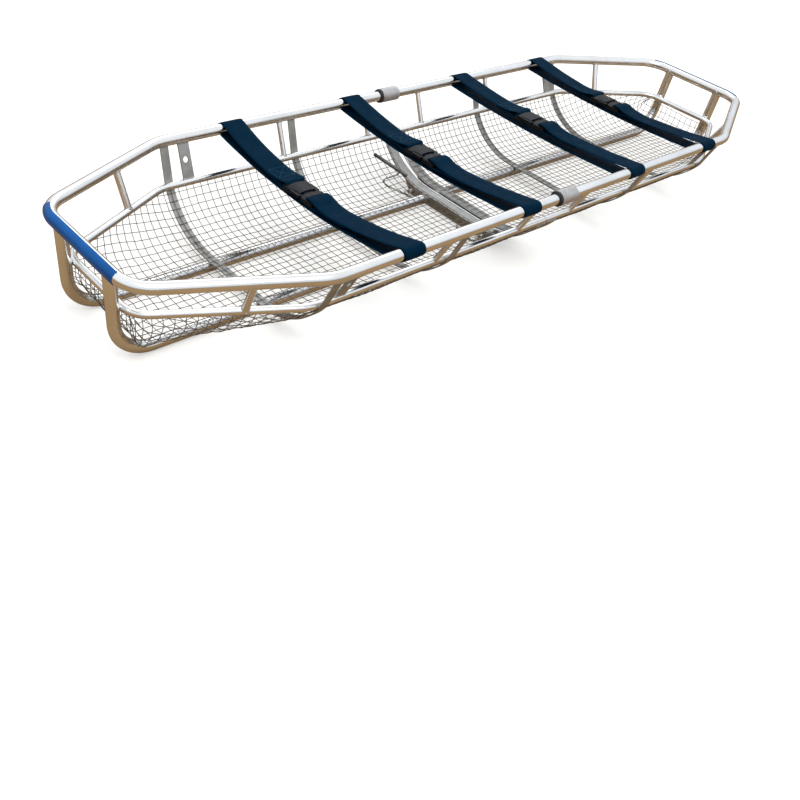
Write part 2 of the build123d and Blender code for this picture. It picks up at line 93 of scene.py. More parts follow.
# ---- wire mesh -----------------------------------------------------------------------------
CELL_X = 19.3
CELL_Y = 17.8
WIRE_R = 0.78
CRIMP = 0.6
NET_R = 184.3
NET_END_FLAT = 73.0
NET_END_X = 1003.0
NET_TOP = 113.0
NET_GIRTH = 276.0            # from the middle to the lower rail, along the widest section
NET_START = {"head": 31.0, "foot": 10.0}
WALL_FOOT = 1001.0           # where the lines of the floor and the end wall meet
WALL_BEND_R = 60.0

# ---- straps --------------------------------------------------------------------------------
STRAPS = {
    1: (-508.0, 177.0, 168.0),
    2: (-143.0, 190.0, 178.0),
    3: (265.0, 203.0, 184.0),
    4: (605.0, 197.0, 184.0),
}
STRAP_W = 58.0
STRAP_T = 2.2
STRAP_WRAP = 14.0
BUCKLE_RISE = 2.5
SLOT_W = 50.0
SLOT_RUN = 12.0              # how far along the strap a slot squeezes it
HEM_L = 24.0
HEM_T = 4.4
TAIL_END = -130.0

# ---- chains, the control points of part.py's route -----------------------------------------
CHAIN_POINTS = (
    (-54, 164, 46.4),
    (-71, 162, 45.6),
    (-90, 163, 46.0),
    (-107, 161, 45.2),
    (-117, 152, 42.0),
    (-111, 139, 38.4),
    (-103, 124, 35.4),
    (-98, 108, 33.7),
    (-90, 93, 33.3),
    (-87, 77, 33.3),
)
LINK_STEP = 6.4
LINK_WIRE_R = 0.9

# ---- camera --------------------------------------------------------------------------------
CAMERA_AT = (-1.79195, -1.30055, 1.16881)
CAMERA_TURN = (58.4266, -9.3601, -42.0742)
CAMERA_LENS = 44.565
CAMERA_SHIFT = (0.0625, -0.1875)

HALVES = {"head": -1, "foot": 1}
SIDES = {"left": 1, "right": -1}

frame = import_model()
NODES = frame["nodes"]


# ---- materials -----------------------------------------------------------------------------
class Finish:
    """A material with a Principled shader and short calls for its texture nodes."""

    def __init__(self, name, color, metallic=0.0, roughness=0.5):
        self.name = name
        self.mat = bpy.data.materials.new(name)
        self.mat.use_nodes = True
        self.tree = self.mat.node_tree
        self.shader = self.tree.nodes["Principled BSDF"]
        self.shader.inputs["Base Color"].default_value = (*color, 1)
        self.shader.inputs["Metallic"].default_value = metallic
        self.shader.inputs["Roughness"].default_value = roughness
        self.height = None

    def set(self, **values):
        for key, value in values.items():
            self.shader.inputs[key.replace("_", " ")].default_value = value
        return self

    def node(self, kind, **values):
        made = self.tree.nodes.new(kind)
        for key, value in values.items():
            setattr(made, key, value)
        return made

    def link(self, source, target):
        self.tree.links.new(source, target)

    def coordinates(self, stretch=(1, 1, 1), kind="Object"):
        source = self.node("ShaderNodeTexCoord").outputs[kind]
        mapping = self.node("ShaderNodeMapping")
        mapping.inputs["Scale"].default_value = stretch
        self.link(source, mapping.inputs["Vector"])
        return mapping.outputs["Vector"]

    def noise(self, scale, detail=4.0, rough=0.5, stretch=(1, 1, 1), kind="Object"):
        made = self.node("ShaderNodeTexNoise")
        made.inputs["Scale"].default_value = scale
        made.inputs["Detail"].default_value = detail
        made.inputs["Roughness"].default_value = rough
        self.link(self.coordinates(stretch, kind), made.inputs["Vector"])
        return made.outputs["Fac"]

    def spread(self, value, low, high, start=0.3, end=0.7):
        made = self.node("ShaderNodeMapRange")
        made.inputs["From Min"].default_value = start
        made.inputs["From Max"].default_value = end
        made.inputs["To Min"].default_value = low
        made.inputs["To Max"].default_value = high
        self.link(value, made.inputs["Value"])
        return made.outputs["Result"]

    def ramp(self, value, *stops):
        made = self.node("ShaderNodeValToRGB")
        elements = made.color_ramp.elements
        while len(elements) < len(stops):
            elements.new(0.5)
        for element, (place, color) in zip(elements, stops):
            element.position = place
            element.color = (*color, 1)
        self.link(value, made.inputs["Fac"])
        return made.outputs["Color"]

    def color(self, source):
        self.link(source, self.shader.inputs["Base Color"])
        return self

    def rough(self, source):
        self.link(source, self.shader.inputs["Roughness"])
        return self

    def bump(self, source, strength, distance):
        """Adds a layer of relief on top of those already there."""
        made = self.node("ShaderNodeBump")
        made.inputs["Strength"].default_value = strength
        made.inputs["Distance"].default_value = distance
        self.link(source, made.inputs["Height"])
        if self.height:
            self.link(self.height, made.inputs["Normal"])
        self.height = made.outputs["Normal"]
        self.link(self.height, self.shader.inputs["Normal"])
        return self


def tube_steel():
    """Bent stainless tube: polished, with fine drawing lines, smudges and small scratches."""
    f = Finish("tube_steel", (0.85, 0.85, 0.85), 1.0, 0.17)
    f.color(f.ramp(f.noise(7, 5, 0.6), (0.3, (0.7, 0.7, 0.69)), (0.62, (0.82, 0.82, 0.82))))
    f.rough(f.spread(f.noise(30, 6, 0.65), 0.13, 0.24))
    f.bump(f.noise(1100, 2, 0.5), 0.04, 0.0003)
    f.bump(f.noise(120, 3, 0.6, (0.1, 1, 1)), 0.05, 0.0005)
    return f


def bar_steel():
    """Flat bar and pressed channel: duller, with mill marks and stains."""
    f = Finish("bar_steel", (0.5, 0.49, 0.48), 0.85, 0.42)
    f.color(f.ramp(f.noise(26, 6, 0.65), (0.3, (0.24, 0.235, 0.225)), (0.7, (0.42, 0.42, 0.41))))
    f.rough(f.spread(f.noise(60, 4, 0.6), 0.34, 0.52))
    f.bump(f.noise(700, 3, 0.6), 0.12, 0.0004)
    return f


def wire_steel():
    """Woven mesh wire: dull galvanised, in darker and paler patches."""
    f = Finish("wire_steel", (0.2, 0.17, 0.14), 0.8, 0.4)
    f.color(f.ramp(f.noise(45, 4, 0.6), (0.3, (0.09, 0.075, 0.06)), (0.7, (0.22, 0.19, 0.155))))
    f.bump(f.noise(1500, 2, 0.5), 0.1, 0.0002)
    return f


def cast_alloy():
    """Blasted collar: matte grey with a fine grain."""
    f = Finish("cast_alloy", (0.45, 0.45, 0.46), 0.85, 0.55)
    f.color(f.ramp(f.noise(70, 6, 0.7), (0.3, (0.36, 0.35, 0.35)), (0.7, (0.52, 0.52, 0.53))))
    f.rough(f.spread(f.noise(200, 4, 0.6), 0.45, 0.65))
    f.bump(f.noise(1400, 2, 0.6), 0.25, 0.0004)
    return f


def seal_rubber():
    f = Finish("seal_rubber", (0.015, 0.015, 0.016), 0.0, 0.62)
    f.rough(f.spread(f.noise(120, 4, 0.6), 0.5, 0.75))
    f.bump(f.noise(900, 3, 0.6), 0.15, 0.0003)
    return f


def pin_steel():
    f = Finish("pin_steel", (0.62, 0.61, 0.6), 1.0, 0.26)
    f.rough(f.spread(f.noise(140, 4, 0.6), 0.2, 0.36))
    f.bump(f.noise(1200, 2, 0.5, (0.2, 1, 1)), 0.08, 0.0003)
    return f


def dark_steel():
    """Blackened rod the lanyard is fixed to."""
    f = Finish("dark_steel", (0.1, 0.1, 0.1), 0.8, 0.4)
    f.color(f.ramp(f.noise(90, 5, 0.65), (0.3, (0.06, 0.06, 0.058)), (0.72, (0.19, 0.19, 0.185))))
    f.rough(f.spread(f.noise(200, 4, 0.6), 0.3, 0.5))
    f.bump(f.noise(1200, 2, 0.5), 0.12, 0.0003)
    return f


def chain_steel():
    f = Finish("chain_steel", (0.2, 0.18, 0.15), 0.9, 0.4)
    worn = (0.3, (0.035, 0.028, 0.022)), (0.65, (0.16, 0.145, 0.125))
    f.color(f.ramp(f.noise(300, 3, 0.6), *worn))
    return f


def pad_blue():
    """Bonded plastic strip: glossy, with slow ripples and fine scuffs."""
    f = Finish("pad_blue", (0.006, 0.07, 0.3), 0.0, 0.22)
    f.color(f.ramp(f.noise(12, 5, 0.55), (0.3, (0.0005, 0.045, 0.19)), (0.7, (0.001, 0.075, 0.29))))
    f.rough(f.spread(f.noise(110, 6, 0.65), 0.16, 0.3))
    f.bump(f.noise(22, 2, 0.5), 0.12, 0.001)
    f.bump(f.noise(900, 3, 0.6), 0.05, 0.0002)
    f.set(Coat_Weight=0.05, Coat_Roughness=0.14, Specular_Tint=(0.1, 0.55, 1, 1))
    return f


def buckle_plastic():
    """Moulded acetal: a fine spark-eroded grain with paler scuffs."""
    f = Finish("buckle_plastic", (0.008, 0.009, 0.011), 0.0, 0.36)
    scuffs = (0.45, (0.003, 0.004, 0.006)), (0.8, (0.014, 0.014, 0.016))
    f.color(f.ramp(f.noise(60, 6, 0.7), *scuffs))
    f.rough(f.spread(f.noise(250, 5, 0.65), 0.38, 0.52))
    f.set(Specular_IOR_Level=0.14)
    f.bump(f.noise(1800, 2, 0.5), 0.2, 0.0002)
    return f


def webbing():
    """Woven strap: fine ribs along it, weft picks across it, two sunk lines and a weak sheen."""
    f = Finish("webbing", (0.003, 0.035, 0.085), 0.0, 0.6)
    ribs = f.node("ShaderNodeTexWave", wave_type="BANDS", bands_direction="X")
    ribs.inputs["Scale"].default_value = 130
    ribs.inputs["Distortion"].default_value = 0.4
    f.link(f.coordinates(kind="UV"), ribs.inputs["Vector"])
    picks = f.node("ShaderNodeTexWave", wave_type="BANDS", bands_direction="Y")
    picks.inputs["Scale"].default_value = 190
    picks.inputs["Distortion"].default_value = 0.8
    f.link(f.coordinates(kind="UV"), picks.inputs["Vector"])
    weave = f.node("ShaderNodeMath", operation="MULTIPLY")
    f.link(ribs.outputs["Fac"], weave.inputs[0])
    f.link(picks.outputs["Fac"], weave.inputs[1])
    panels = f.node("ShaderNodeTexWave", wave_type="BANDS", bands_direction="X")
    panels.inputs["Scale"].default_value = 10.8
    panels.inputs["Phase Offset"].default_value = math.pi
    f.link(f.coordinates(kind="UV"), panels.inputs["Vector"])
    worn = f.node("ShaderNodeMix", data_type="RGBA")
    f.link(f.noise(14, 5, 0.6), worn.inputs["Factor"])
    f.link(
        f.ramp(weave.outputs[0], (0.0, (0.0004, 0.007, 0.018)), (0.7, (0.0008, 0.017, 0.04))),
        worn.inputs["A"],
    )
    f.link(
        f.ramp(weave.outputs[0], (0.0, (0.0006, 0.009, 0.022)), (0.7, (0.0014, 0.027, 0.058))),
        worn.inputs["B"],
    )
    f.color(worn.outputs["Result"])
    f.rough(f.spread(f.noise(40, 4, 0.6), 0.5, 0.7))
    f.bump(panels.outputs["Fac"], 0.3, 0.0012)
    f.bump(weave.outputs[0], 0.4, 0.0006)
    f.bump(f.noise(400, 3, 0.6), 0.15, 0.0004)
    f.set(Specular_IOR_Level=0.02, Sheen_Weight=0.012, Sheen_Roughness=0.4)
    f.set(Sheen_Tint=(0.1, 0.5, 0.8, 1), Specular_Tint=(0.1, 0.5, 0.8, 1))
    return f


def thread():
    f = Finish("thread", (0.012, 0.06, 0.12), 0.0, 0.6)
    f.set(Specular_IOR_Level=0.2)
    f.bump(f.noise(1500, 2, 0.5), 0.3, 0.0003)
    return f


def weld_metal():
    """Bead with heat tint and ripples."""
    f = Finish("weld_metal", (0.5, 0.45, 0.4), 0.95, 0.36)
    f.color(
        f.ramp(
            f.noise(120, 4, 0.6),
            (0.3, (0.32, 0.26, 0.2)),
            (0.55, (0.52, 0.48, 0.43)),
            (0.75, (0.62, 0.61, 0.6)),
        )
    )
    f.bump(f.noise(900, 3, 0.6), 0.35, 0.0005)
    return f


FINISH = {
    f.name: f.mat
    for f in (
        tube_steel(),
        bar_steel(),
        wire_steel(),
        cast_alloy(),
        seal_rubber(),
        pin_steel(),
        dark_steel(),
        chain_steel(),
        pad_blue(),
        buckle_plastic(),
        webbing(),
        thread(),
        weld_metal(),
    )
}


def paint(obj, name):
    obj.data.materials.clear()
    obj.data.materials.append(FINISH[name])


SLOTS = {s["node"]: s["material_slot"] for s in frame["record"]["subparts"]}
for node_name, node in NODES.items():
    paint(node, SLOTS[node_name])


# ---- mesh builders -------------------------------------------------------------------------
def mesh_object(name, points, faces, finish, uv=None, smooth=True):
    """A new object from points in mm."""
    data = bpy.data.meshes.new(name)
    data.from_pydata((np.asarray(points, float) * MM).tolist(), [], faces)
    data.validate()
    if smooth:
        data.shade_smooth()
    if uv is not None:
        layer = data.uv_layers.new(name="weave")
        index = np.empty(len(data.loops), np.int32)
        data.loops.foreach_get("vertex_index", index)
        layer.data.foreach_set("uv", np.asarray(uv, np.float32)[index].ravel())
    obj = bpy.data.objects.new(name, data)
    bpy.context.scene.collection.objects.link(obj)
    paint(obj, finish)
    return obj


def unit(v):
    v = np.asarray(v, float)
    return v / max(np.linalg.norm(v), 1e-12)


def tube_rings(path, radius, sides, closed=False):
    """Rings of points round a path, turned as little as possible from one to the next."""
    path = np.asarray(path, float)
    if closed:
        before, after = np.roll(path, 1, 0), np.roll(path, -1, 0)
    else:
        before = np.vstack([path[:1], path[:-1]])
        after = np.vstack([path[1:], path[-1:]])
    tangents = after - before
    radii = np.broadcast_to(np.asarray(radius, float), (len(path),))
    side = unit(np.cross(tangents[0], (0.13, 0.31, 0.94)))
    rings = []
    for p, t, r in zip(path, tangents, radii):
        t = unit(t)
        side = unit(side - t * np.dot(side, t))
        other = np.cross(t, side)
        for k in range(sides):
            a = 2 * math.pi * k / sides
            rings.append(p + r * (math.cos(a) * side + math.sin(a) * other))
    return rings


def tubes(name, paths, finish, radius=WIRE_R, sides=6, closed=False):
    """One object from many tubes. Each path may carry its own radii as (path, radii)."""
    points, faces = [], []
    for entry in paths:
        path, radii = entry if isinstance(entry, tuple) else (entry, radius)
        start = len(points)
        points += tube_rings(path, radii, sides, closed)
        count = len(path)
        for i in range(count if closed else count - 1):
            a = start + i * sides
            b = start + (i + 1) % count * sides
            for k in range(sides):
                n = (k + 1) % sides
                faces.append((a + k, a + n, b + n, b + k))
        if not closed:
            last = start + (count - 1) * sides
            faces.append(tuple(start + k for k in reversed(range(sides))))
            faces.append(tuple(last + k for k in range(sides)))
    return mesh_object(name, points, faces, finish)


def wobble(x, y, seed, size):
    """A smooth pseudo-random pair of offsets for a place on a surface."""
    place = Vector((x / size, y / size, seed))
    return noise.noise(place), noise.noise(place + Vector((31.7, 11.3, 5.1)))


# ---- wire mesh -----------------------------------------------------------------------------
def low_rail_y(x):
    """Half width of the lower rail's centre line at a station."""
    slope = (LOW_Y - LOW_END_Y) / (LOW_X - LOW_BEND_X)
    centre_x = LOW_X - LOW_CORNER_R
    centre_y = LOW_END_Y - LOW_CORNER_R * math.tan((math.pi / 2 - math.atan(slope)) / 2)
    if x > centre_x + LOW_CORNER_R * math.sin(math.atan(slope)):
        return centre_y + math.sqrt(max(LOW_CORNER_R**2 - (x - centre_x) ** 2, 0))
    return LOW_Y - slope * max(x - LOW_BEND_X, 0)


def net_profile(start):
    """The mesh's centreline from the split to the end rail, every half cell: (x, z) pairs."""
    foot = np.array((WALL_FOOT, ARC_Z - NET_R))
    top = np.array((NET_END_X, NET_TOP))
    up = unit(top - foot)
    turn = math.acos(up[0])
    back = WALL_BEND_R * math.tan(turn / 2)
    bend_from = foot - (back, 0)
    corners = [np.array((start, foot[1])), bend_from]
    centre = bend_from + (0, WALL_BEND_R)
    for i in range(1, 9):
        a = turn * i / 8
        corners.append(centre + WALL_BEND_R * np.array((math.sin(a), -math.cos(a))))
    corners.append(top)
    corners = np.array(corners)
    along = np.r_[0, np.cumsum(np.linalg.norm(np.diff(corners, axis=0), axis=1))]
    steps = np.arange(0, along[-1], CELL_X / 2)
    return [(np.interp(s, along, corners[:, 0]), np.interp(s, along, corners[:, 1])) for s in steps]


def net_section(x):
    """Floor half width, side radius and arc centre height of the basket at a station."""
    u = min(max((x - LOW_BEND_X) / (NET_END_X - LOW_BEND_X), 0), 1)
    flat = ARC_Y + u * (NET_END_FLAT - ARC_Y)
    floor_z = ARC_Z - NET_R
    rise = NET_TOP - floor_z
    reach = low_rail_y(x) + 2 - flat
    radius = (reach**2 + rise**2) / (2 * rise)
    return flat, radius, floor_z + radius


def net_reach(x, base):
    """Distance from the middle to the lower rail along the section that starts at height base."""
    flat, radius, centre = net_section(x)
    low = math.acos(max(min((centre - base) / radius, 1), -1))
    high = math.acos((centre - NET_TOP) / radius)
    corner = flat + radius * math.sin(low)
    return corner, corner + radius * max(high - low, 0), low


def net_point(x, base, s):
    """The point at distance s from the middle, and the way out of the basket there."""
    flat, radius, centre = net_section(x)
    corner, _, low = net_reach(x, base)
    away = abs(s)
    hand = 1 if s >= 0 else -1
    if away <= corner:
        return np.array((x, s, base)), np.array((0.0, 0.0, -1.0))
    angle = low + (away - corner) / radius
    y = flat + radius * math.sin(angle)
    z = centre - radius * math.cos(angle)
    return np.array((x, hand * y, z)), np.array((0.0, hand * math.sin(angle), -math.cos(angle)))


def net_sag(x, start):
    """How far the mesh hangs between its supports, from 0 to 1."""
    marks = (start, *RIB_X, WALL_FOOT - WALL_BEND_R)
    for a, b in zip(marks, marks[1:]):
        if a < x < b:
            return math.sin(math.pi * (x - a) / (b - a)) ** 2
    return 0.0


def net_place(sign, start, x, base, s, crimp):
    """A point of the net with its sag, unevenness and crimp."""
    place, out = net_point(x, base, s)
    corner, reach, _ = net_reach(x, base)
    free = min(1, max(0, (reach - abs(s)) / 60)) * min(1, max(0, (x - start) / 60))
    ends = min(1, max(0, (x - 760) / 200))
    a, b = wobble(x * sign, s, 3.3, 90.0)
    c, d = wobble(x * sign, s, 8.1, 35.0)
    size = 1.4 + 3.0 * ends
    place[0] += free * size * (a + 0.5 * c) * 1.5
    place[1] += free * size * (b + 0.5 * d) * 1.5
    hang = net_sag(x, start) * (1.6 if abs(s) < corner else 2.6) + ends * free * 3 * c
    place += out * (hang * free + crimp)
    place[2] = max(place[2], 26.2)
    return (sign * place[0], place[1], place[2])


def basket_net(half, sign):
    """Crossing wires of one half, woven over and under each other, with cut ends on the rails."""
    start = NET_START[half]
    profile = net_profile(start)
    paths = []
    for i in range(0, len(profile), 2):
        x, base = profile[i]
        _, reach, _ = net_reach(x, base)
        values = np.linspace(-reach, reach, int(2 * reach // (CELL_Y / 2)) + 1)
        crimps = CRIMP * np.cos(math.pi * (values / CELL_Y + i / 2))
        pairs = zip(values, crimps)
        paths.append([net_place(sign, start, x, base, s, crimp) for s, crimp in pairs])
    columns = int(NET_GIRTH // CELL_Y)
    for k in range(-columns, columns + 1):
        s = k * CELL_Y
        line = []
        for i, (x, base) in enumerate(profile):
            if abs(s) > net_reach(x, base)[1]:
                break
            crimp = -CRIMP * math.cos(math.pi * (i / 2 + k))
            line.append(net_place(sign, start, x, base, s, crimp))
        paths.append(line)
    obj = tubes(f"{half}_wire_net", paths, "wire_steel", sides=5)
    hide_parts(f"{half}_mesh")
    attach(obj, f"{half}_half")
    return obj


for half, sign in HALVES.items():
    basket_net(half, sign)


# ---- straps --------------------------------------------------------------------------------
def sag_arc(end_z, middle_z, count):
    """Points (y, z) of a layer that hangs between the rails, from +Y to -Y."""
    rise = end_z - middle_z
    radius = (RAIL_Y**2 + rise**2) / (2 * rise)
    half = math.asin(RAIL_Y / radius)
    return [
        (radius * math.sin(a), middle_z + radius * (1 - math.cos(a)))
        for a in np.linspace(half, -half, count)
    ]


def wrap_arc(side, from_angle, to_angle, count):
    return [
        (side * (RAIL_Y + STRAP_WRAP * math.cos(a)), RAIL_Z + STRAP_WRAP * math.sin(a))
        for a in np.radians(np.linspace(from_angle, to_angle, count))
    ]


def resample(points, step):
    points = np.asarray(points, float)
    along = np.r_[0, np.cumsum(np.linalg.norm(np.diff(points, axis=0), axis=1))]
    count = max(int(round(along[-1] / step)), 2)
    steps = np.linspace(0, along[-1], count + 1)
    return np.column_stack([np.interp(steps, along, points[:, i]) for i in range(points.shape[1])])


def soften(points, rounds=2):
    """Cuts the corners of a line, keeping its ends."""
    points = np.asarray(points, float)
    for _ in range(rounds):
        a = points[:-1] * 0.75 + points[1:] * 0.25
        b = points[:-1] * 0.25 + points[1:] * 0.75
        middle = np.column_stack([a, b]).reshape(-1, points.shape[1])
        points = np.vstack([points[:1], middle[1:-1], points[-1:]])
    return points


class Strip:
    """Webbing along a line of (y, z) points, squeezed where it goes through its slots."""

    def __init__(self, line, x, seed, slots, hem):
        self.line = resample(line, 3.0)
        self.x = x
        self.seed = seed
        before = np.vstack([self.line[:1], self.line[:-1]])
        after = np.vstack([self.line[1:], self.line[-1:]])
        tangents = np.array([unit(t) for t in after - before])
        self.normals = np.column_stack([-tangents[:, 1], tangents[:, 0]])
        steps = np.linalg.norm(np.diff(self.line, axis=0), axis=1)
        self.along = np.r_[0, np.cumsum(steps)]
        self.length = self.along[-1]
        self.narrow = [self.find(slot) for slot in slots]
        self.hem = hem

    def find(self, place, after=0.0):
        """How far along the strip the (y, z) place is, looking only past a given distance."""
        apart = np.linalg.norm(self.line - place, axis=1)
        apart[self.along < after] = 1e9
        return self.along[int(np.argmin(apart))]

    def width(self, s):
        squeeze = max(math.exp(-(((s - place) / SLOT_RUN) ** 2)) for place in self.narrow)
        return STRAP_W - (STRAP_W - SLOT_W) * squeeze

    def thickness(self, s):
        return HEM_T if s > self.length - self.hem else STRAP_T

    def place(self, across, s, side=1, lift=0.0):
        """A point on the upper or lower face; across runs from -0.5 to 0.5, s along the strip."""
        y = np.interp(s, self.along, self.line[:, 0])
        z = np.interp(s, self.along, self.line[:, 1])
        ny = np.interp(s, self.along, self.normals[:, 0])
        nz = np.interp(s, self.along, self.normals[:, 1])
        width = self.width(s)
        cup = (STRAP_W - width) * 0.07 * math.cos(across * 4 * math.pi)
        ripple = 0.7 * noise.noise(Vector((s / 60, across * 1.4, self.seed)))
        edge = 1 - (abs(across) * 2) ** 8 * 0.55
        offset = side * (self.thickness(s) / 2 * edge + lift) + ripple + cup
        shift = 1.2 * noise.noise(Vector((s / 110, self.seed, 2.2)))
        return (self.x + across * width + shift, y + ny * offset, z + nz * offset)

    def build(self, name, columns=10):
        rows = len(self.along)
        steps = np.linspace(-0.5, 0.5, columns + 1)
        points = [self.place(c, s, side) for side in (1, -1) for s in self.along for c in steps]
        uv = [(c * STRAP_W * MM, s * MM) for _ in (1, -1) for s in self.along for c in steps]
        layer = rows * (columns + 1)
        faces = []
        for i in range(rows - 1):
            for j in range(columns):
                a = i * (columns + 1) + j
                b = a + columns + 1
                faces.append((a, b, b + 1, a + 1))
                faces.append((layer + a, layer + a + 1, layer + b + 1, layer + b))
            for j in (0, columns):
                a = i * (columns + 1) + j
                b = a + columns + 1
                quad = (a, layer + a, layer + b, b)
                faces.append(quad if j == 0 else quad[::-1])
        for i in (0, rows - 1):
            for j in range(columns):
                a = i * (columns + 1) + j
                quad = (a, a + 1, layer + a + 1, layer + a)
                faces.append(quad if i == 0 else quad[::-1])
        return mesh_object(name, points, faces, "webbing", uv=uv)

    def seam(self, start, end, side=1):
        """Stitches between two places (across in mm, along in mm) on one face."""
        start, end = np.array(start, float), np.array(end, float)
        run = np.linalg.norm(end - start)
        count = int(run // 4.2)
        stitches = []
        for i in range(count):
            ends = [start + (end - start) * (i + part) / count for part in (0.12, 0.5, 0.88)]
            lifts = (-0.1, 0.35, -0.1)
            stitches.append(
                [
                    self.place(a / self.width(s), s, side, lift)
                    for (a, s), lift in zip(ends, lifts)
                ]
            )
        return stitches


def strap(number, x, upper_z, lower_z):
    """One strap: sewn round the socket's bar, round both rails, and back out of the plug."""
    upper = sag_arc(RAIL_Z + STRAP_WRAP, upper_z, 161)
    lower = sag_arc(RAIL_Z - STRAP_WRAP, lower_z - 1.5, 121)
    buckle = upper_z + BUCKLE_RISE

    def layer(y, lift=0.0):
        return (y, np.interp(y, [p[0] for p in upper[::-1]], [p[1] for p in upper[::-1]]) + lift)

    sewn = [
        *(layer(y, -2.6) for y in (128, 118, 104, 92)),
        layer(80, -3.4),
        (69, buckle - 7.6),
        (62, buckle - 9.0),
        (56, buckle - 8.6),
        (55, buckle - 4),
        (55, buckle + 5),
        (56.5, buckle + 8.8),
        (62, buckle + 9.0),
        (70, buckle + 7.2),
        *(layer(y, rise) for y, rise in ((80, 5), (92, 3), (104, 1.4), (118, 0.4), (130, 0))),
    ]
    through = [
        *(layer(y, rise) for y, rise in ((-80, 0.4), (-66, 1.8), (-54, 3.6), (-44, 5.4))),
        (-34, buckle + 7.6),
        (-24, buckle + 9.0),
        (-16, buckle + 8.8),
        (-11.5, buckle + 6.5),
        (-11, buckle),
        (-11.5, buckle - 6.5),
        (-16, buckle - 8.2),
        (-28, buckle - 8.4),
        (-38, buckle - 7.4),
        layer(-50, -4.2),
        layer(-62, -3.2),
        *(layer(y, -3.6) for y in np.linspace(-74, TAIL_END, 8)),
    ]
    line = [
        *soften(sewn),
        *(p for p in upper[::-1] if p[0] > 134),
        *wrap_arc(1, 90, -90, 19)[1:-1],
        *lower,
        *wrap_arc(-1, -90, 90, 19)[1:-1],
        *(p for p in upper[::-1] if p[0] < -84),
        *soften(through),
    ]
    strip = Strip(line, x, number * 7.7, [(55, buckle), (-11, buckle)], HEM_L)
    webbing_piece = strip.build(f"strap_{number}_webbing")
    over_bar = strip.find((62, buckle + 9.0))
    near = strip.find(layer(82, 2.6), over_bar)
    far = strip.find(layer(122), over_bar)
    corners = [(-22, near), (22, near), (22, far), (-22, far)]
    box = list(zip(corners, corners[1:] + corners[:1]))
    cross = [(corners[0], corners[2]), (corners[1], corners[3])]
    runs = box + cross
    stitches = [stitch for run in runs for stitch in strip.seam(*run)]
    for back in (5, 20):
        row = strip.length - back
        stitches += strip.seam((-26, row), (26, row))
    stitching = tubes(f"strap_{number}_stitching", stitches, "thread", 0.42, 5)
    for piece in (webbing_piece, stitching):
        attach(piece, "head_half" if x < 0 else "foot_half")
    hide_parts(f"strap_{number}")


for number, (x, upper_z, lower_z) in STRAPS.items():
    strap(number, x, upper_z, lower_z)


# ---- lanyard chains ------------------------------------------------------------------------
def spline_line(name, points):
    """Points read from a smooth NURBS curve with these control points."""
    curve = bpy.data.curves.new(name, "CURVE")
    curve.dimensions = "3D"
    spline = curve.splines.new("NURBS")
    spline.points.add(len(points) - 1)
    for place, (x, y, z) in zip(spline.points, points):
        place.co = (x * MM, y * MM, z * MM, 1)
    spline.order_u = 3
    spline.use_endpoint_u = True
    spline.resolution_u = 12
    obj = bpy.data.objects.new(name, curve)
    bpy.context.scene.collection.objects.link(obj)
    bpy.context.view_layer.update()
    data = bpy.data.meshes.new_from_object(obj)
    line = [tuple(v.co) for v in data.vertices]
    bpy.data.objects.remove(obj)
    return line


def chain(side_name, side):
    name = f"chain_{side_name}"
    line = spline_line(name + "_route", [(x, side * y, z) for x, y, z in CHAIN_POINTS])
    path = resample(np.array(line) / MM, LINK_STEP)
    links = []
    for i, (a, b) in enumerate(zip(path, path[1:])):
        along = unit(b - a)
        flat = unit(np.cross((0, 0, 1), along))
        up = np.cross(along, flat)
        across = unit(flat + up) if i % 2 else unit(flat - up)
        middle = (a + b) / 2
        loop = []
        for t in np.linspace(0, 2 * math.pi, 16, endpoint=False):
            stretch = 2.9 * math.copysign(abs(math.cos(t)) ** 0.8, math.cos(t))
            stretch += 0.9 * math.cos(t)
            loop.append(middle + along * stretch + across * 1.75 * math.sin(t))
        links.append(loop)
    obj = tubes(name, links, "chain_steel", radius=LINK_WIRE_R, sides=8, closed=True)
    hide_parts(f"lanyard_chain_{side_name}")
    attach(obj, "head_half")


def lanyard_ring(side_name, side):
    """The split ring that holds the chain to its bar."""
    top = np.array((-94.0, side * 221.0, 85.7))
    end = np.array((LANYARD_END[0], side * LANYARD_END[1], LANYARD_END[2]))
    along = unit(end - top)
    link = np.array((CHAIN_POINTS[0][0], side * CHAIN_POINTS[0][1], CHAIN_POINTS[0][2]))
    foot = top + along * np.dot(link - top, along)
    away = unit(link - foot)
    across = np.cross(along, away)
    loops = []
    for shift in (-0.45, 0.45):
        loops.append(
            [
                foot + away * (3 + 7.6 * math.cos(a)) + across * 7.6 * math.sin(a) + along * shift
                for a in np.linspace(0, 2 * math.pi, 28, endpoint=False)
            ]
        )
    obj = tubes(
        f"lanyard_ring_{side_name}", loops, "chain_steel", radius=0.6, sides=8, closed=True
    )
    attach(obj, "head_half")


for side_name, side in SIDES.items():
    chain(side_name, side)
    lanyard_ring(side_name, side)


# ---- welds and rolled edges ----------------------------------------------------------------
def bead(path, size=1.5):
    """A weld bead along a path: its radius swells and sinks with each ripple."""
    path = resample(path, 1.3)
    radii = [
        size * (1 + 0.16 * (-1) ** i + 0.25 * noise.noise(Vector(p) * 0.13))
        for i, p in enumerate(path)
    ]
    radii[0] *= 0.6
    radii[-1] *= 0.6
    return path, radii


